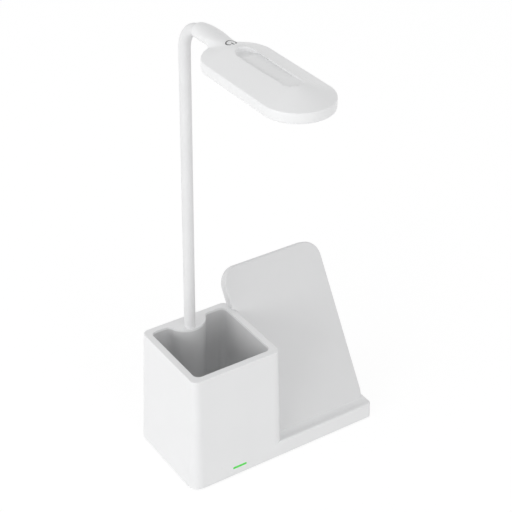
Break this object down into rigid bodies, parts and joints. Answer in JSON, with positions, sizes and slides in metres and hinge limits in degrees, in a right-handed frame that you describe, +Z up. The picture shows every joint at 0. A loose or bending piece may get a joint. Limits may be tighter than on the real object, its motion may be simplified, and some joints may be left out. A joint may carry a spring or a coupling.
{
  "type": "desk lamp organizer",
  "caption": "Gooseneck desk lamp with an oval head on a base that holds a pen cup and a leaning phone charging plate",
  "frame": {"origin": "middle of the base's rest face, on the desk", "axes": "+X along the base from the pen cup to the phone plate, -Y towards the user, +Z up"},
  "size_m": [0.1704, 0.1802, 0.3618],
  "materials": {
    "housing_plastic": "fine satin moulding, white",
    "panel_plastic": "fine satin moulding, white",
    "silicone": "matt white silicone",
    "spring_steel": "bright",
    "plated_steel": "zinc plated",
    "nut_brass": "turned",
    "crimp_aluminium": "turned",
    "pad_rubber": "matt grey foam rubber",
    "board_green": "solder mask",
    "socket_steel": "drawn",
    "green_light": "lit, translucent",
    "copper": "enamelled copper winding",
    "ferrite": "matt",
    "diffuser_white": "opal",
    "chip_phosphor": "phosphor"
  },
  "bodies": {
    "base": {"base_housing": "housing_plastic", "bottom_cover": "housing_plastic", "cover_screws": "plated_steel", "antislip_pad": "pad_rubber", "ballast_plate": "plated_steel", "main_board": "board_green", "usb_socket": "socket_steel", "indicator_lens": "green_light", "indicator_board": "board_green", "plate_front": "panel_plastic", "plate_back": "panel_plastic", "charging_coil": "copper", "ferrite_sheet": "ferrite", "post_stem": "plated_steel", "post_washer": "plated_steel", "post_nut": "nut_brass", "core_base": "spring_steel", "sleeve_base": "silicone", "core_low_bend": "spring_steel", "sleeve_low_bend": "silicone"},
    "lower_post": {"core_lower": "spring_steel", "sleeve_lower": "silicone", "core_high_bend": "spring_steel", "sleeve_high_bend": "silicone"},
    "upper_post": {"core_upper": "spring_steel", "sleeve_upper": "silicone"},
    "crown_post": {"core_crown": "spring_steel", "sleeve_crown": "silicone", "core_top_bend": "spring_steel", "sleeve_top_bend": "silicone"},
    "head": {"head_cover": "housing_plastic", "head_bezel": "housing_plastic", "diffuser": "diffuser_white", "reflector": "diffuser_white", "led_board": "board_green", "lamp_chips": "chip_phosphor", "board_screws": "plated_steel", "touch_sensor": "board_green", "touch_contact": "spring_steel", "core_head": "spring_steel", "neck_ferrule": "crimp_aluminium"}
  },
  "joints": [
    {"name": "post_lean", "type": "hinge", "parent": "base", "child": "lower_post", "pos_m": [-0.04585, 0.0259, 0.128], "axis": [1, 0, 0], "range_deg": [-30, 30], "deforming": ["core_low_bend", "sleeve_low_bend"]},
    {"name": "post_sway", "type": "hinge", "parent": "lower_post", "child": "upper_post", "pos_m": [-0.04585, 0.0259, 0.2], "axis": [0, 1, 0], "range_deg": [-40, 40], "deforming": ["core_high_bend", "sleeve_high_bend"]},
    {"name": "head_turn", "type": "hinge", "parent": "upper_post", "child": "crown_post", "pos_m": [-0.04585, 0.0259, 0.3], "axis": [0, 0, 1], "range_deg": [-75, 75]},
    {"name": "head_tilt", "type": "hinge", "parent": "crown_post", "child": "head", "pos_m": [-0.04585, 0.0199, 0.3483], "axis": [1, 0, 0], "range_deg": [-45, 40], "deforming": ["core_top_bend", "sleeve_top_bend"]}
  ]
}
